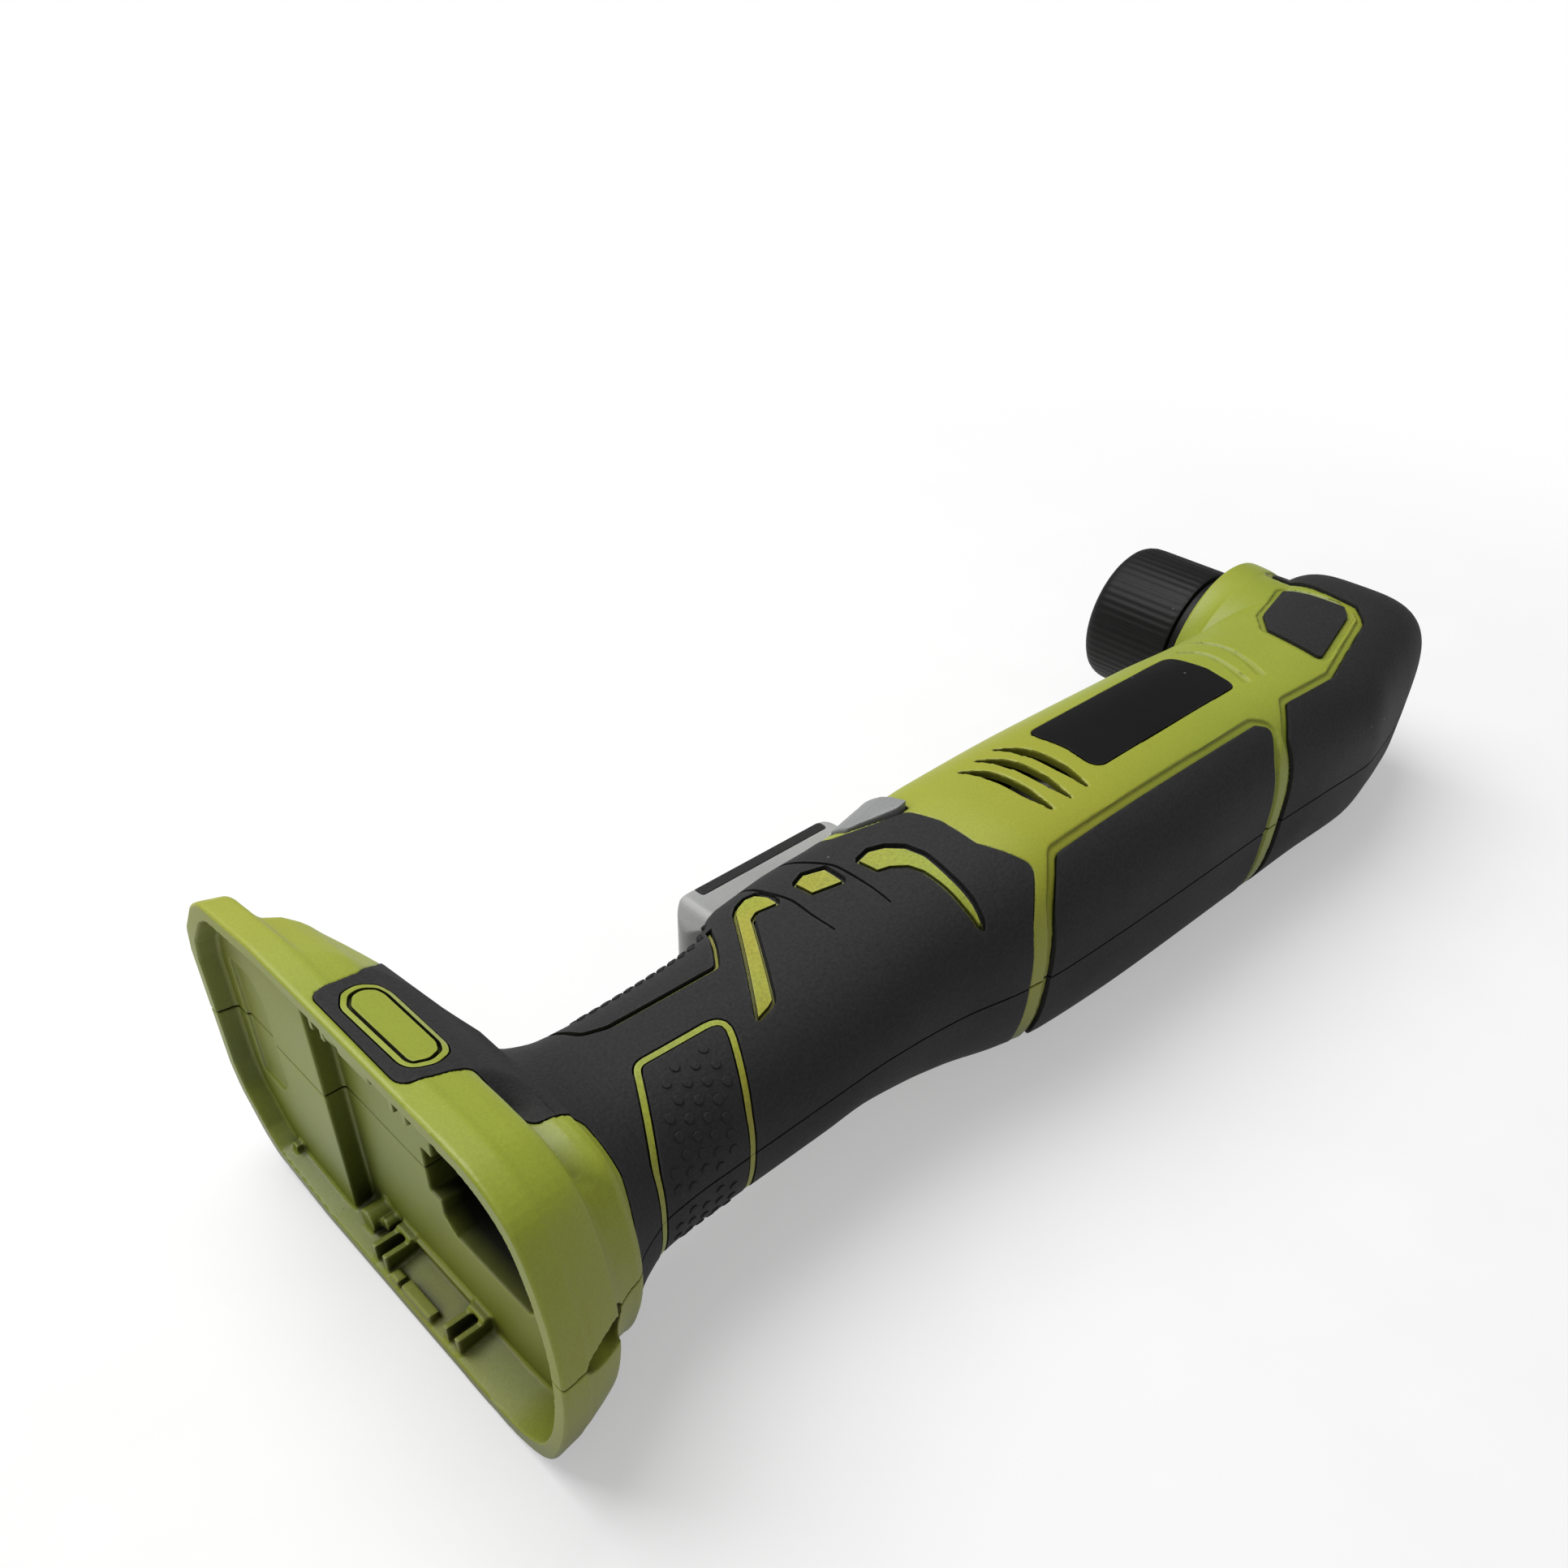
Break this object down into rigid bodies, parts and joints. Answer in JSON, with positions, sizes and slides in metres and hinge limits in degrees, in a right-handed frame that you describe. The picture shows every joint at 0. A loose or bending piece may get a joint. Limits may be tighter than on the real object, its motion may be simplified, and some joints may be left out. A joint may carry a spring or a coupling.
{
  "type": "right angle drill",
  "caption": "Cordless right angle drill without its battery: boot shaped foot with a battery mouth, rubber grip, paddle trigger, barrel and a keyless chuck square to the barrel.",
  "frame": {"origin": "on the motor axis, in the plane of the foot rim that the battery seats against", "axes": "+X along the barrel from the foot to the head, +Y along the chuck axis out of the chuck, +Z to the left half of the housing"},
  "size_m": [0.2929, 0.1116, 0.0692],
  "materials": {
    "green_plastic": "fine moulded texture",
    "rubber": "matt, fine grain",
    "black_plate": "satin, bare",
    "black_plastic": "satin",
    "grey_plastic": "satin",
    "red_plastic": "satin",
    "ivory_plastic": "satin",
    "white_plastic": "satin",
    "zinc_steel": "zinc plated",
    "steel": "ground",
    "core_iron": "varnished stack",
    "ferrite": "sintered",
    "copper": "turned",
    "carbon": "pressed carbon",
    "brass": "satin",
    "alloy": "die cast"
  },
  "bodies": {
    "housing": {"left_housing": "green_plastic", "right_housing": "green_plastic", "left_grip": "rubber", "right_grip": "rubber", "left_side_panel": "rubber", "right_side_panel": "rubber", "left_head_cover": "rubber", "right_head_cover": "rubber", "left_head_window": "black_plastic", "right_head_window": "black_plastic", "left_name_plate": "black_plate", "right_name_plate": "black_plate", "left_badge": "green_plastic", "right_badge": "green_plastic", "left_inlays": "green_plastic", "right_inlays": "green_plastic", "housing_screws": "zinc_steel", "trigger_pin": "steel", "switch_body": "red_plastic", "terminal_block": "black_plastic", "battery_terminals": "brass", "motor_can": "zinc_steel", "motor_magnets": "ferrite", "brush_card": "ivory_plastic", "brushes": "carbon", "motor_bushes": "brass", "ring_gear": "ferrite", "gear_case": "alloy", "pinion_bearing": "steel", "front_bearing": "steel", "rear_bush": "brass"},
    "rotor": {"motor_shaft": "steel", "armature": "core_iron", "commutator": "copper", "motor_fan": "white_plastic", "sun_pinion": "steel"},
    "carrier": {"planet_carrier": "steel", "bevel_pinion": "steel"},
    "planet_1": {"planet_gear_1": "steel"},
    "planet_2": {"planet_gear_2": "steel"},
    "planet_3": {"planet_gear_3": "steel"},
    "output": {"spindle": "steel", "bevel_gear": "steel", "chuck_body": "zinc_steel", "chuck_rear_ring": "black_plastic", "chuck_screw": "steel"},
    "sleeve": {"chuck_sleeve": "black_plastic", "chuck_nut": "steel"},
    "jaw_1": {"chuck_jaw_1": "steel"},
    "jaw_2": {"chuck_jaw_2": "steel"},
    "jaw_3": {"chuck_jaw_3": "steel"},
    "trigger": {"trigger": "grey_plastic", "trigger_pad": "black_plastic"},
    "plunger": {"switch_plunger": "black_plastic"},
    "selector": {"direction_selector": "grey_plastic"}
  },
  "joints": [
    {"name": "spindle_spin", "type": "hinge", "parent": "housing", "child": "output", "pos_m": [0.268, 0, 0], "axis": [0, 1, 0], "continuous": true},
    {"name": "motor_spin", "type": "hinge", "parent": "housing", "child": "rotor", "pos_m": [0.19, 0, 0], "axis": [1, 0, 0], "continuous": true},
    {"name": "carrier_spin", "type": "hinge", "parent": "housing", "child": "carrier", "pos_m": [0.239, 0, 0], "axis": [1, 0, 0], "continuous": true},
    {"name": "planet_1_spin", "type": "hinge", "parent": "carrier", "child": "planet_1", "pos_m": [0.2325, 0.009, 0], "axis": [1, 0, 0], "continuous": true},
    {"name": "planet_2_spin", "type": "hinge", "parent": "carrier", "child": "planet_2", "pos_m": [0.2325, -0.0045, 0.00779], "axis": [1, 0, 0], "continuous": true},
    {"name": "planet_3_spin", "type": "hinge", "parent": "carrier", "child": "planet_3", "pos_m": [0.2325, -0.0045, -0.00779], "axis": [1, 0, 0], "continuous": true},
    {"name": "sleeve_turn", "type": "hinge", "parent": "output", "child": "sleeve", "pos_m": [0.268, 0.048, 0], "axis": [0, -1, 0], "range_deg": [0, 2880]},
    {"name": "jaw_1_slide", "type": "slide", "parent": "output", "child": "jaw_1", "axis": [-0.309, 0.9511, 0], "range_m": [0, 0.0153]},
    {"name": "jaw_2_slide", "type": "slide", "parent": "output", "child": "jaw_2", "axis": [0.1545, 0.9511, 0.2676], "range_m": [0, 0.0153]},
    {"name": "jaw_3_slide", "type": "slide", "parent": "output", "child": "jaw_3", "axis": [0.1545, 0.9511, -0.2676], "range_m": [0, 0.0153]},
    {"name": "trigger_press", "type": "hinge", "parent": "housing", "child": "trigger", "pos_m": [0.119, 0.024, 0], "axis": [0, 0, 1], "range_deg": [0, 8], "stiffness_Nm_per_rad": 1.5, "springref_deg": -2.86},
    {"name": "plunger_slide", "type": "slide", "parent": "housing", "child": "plunger", "axis": [0, -1, 0], "range_m": [0, 0.0031]},
    {"name": "selector_slide", "type": "slide", "parent": "housing", "child": "selector", "axis": [0, 0, 1], "range_m": [-0.0025, 0.0025]}
  ],
  "couplings": [
    {"joint": "carrier_spin", "follows": "spindle_spin", "ratio": 3},
    {"joint": "motor_spin", "follows": "spindle_spin", "ratio": 18},
    {"joint": "planet_1_spin", "follows": "spindle_spin", "ratio": -7.5},
    {"joint": "planet_2_spin", "follows": "spindle_spin", "ratio": -7.5},
    {"joint": "planet_3_spin", "follows": "spindle_spin", "ratio": -7.5},
    {"joint": "jaw_1_slide", "follows": "sleeve_turn", "m_per_rad": 0.00030239},
    {"joint": "jaw_2_slide", "follows": "sleeve_turn", "m_per_rad": 0.00030239},
    {"joint": "jaw_3_slide", "follows": "sleeve_turn", "m_per_rad": 0.00030239},
    {"joint": "plunger_slide", "follows": "trigger_press", "m_per_rad": 0.0215}
  ]
}
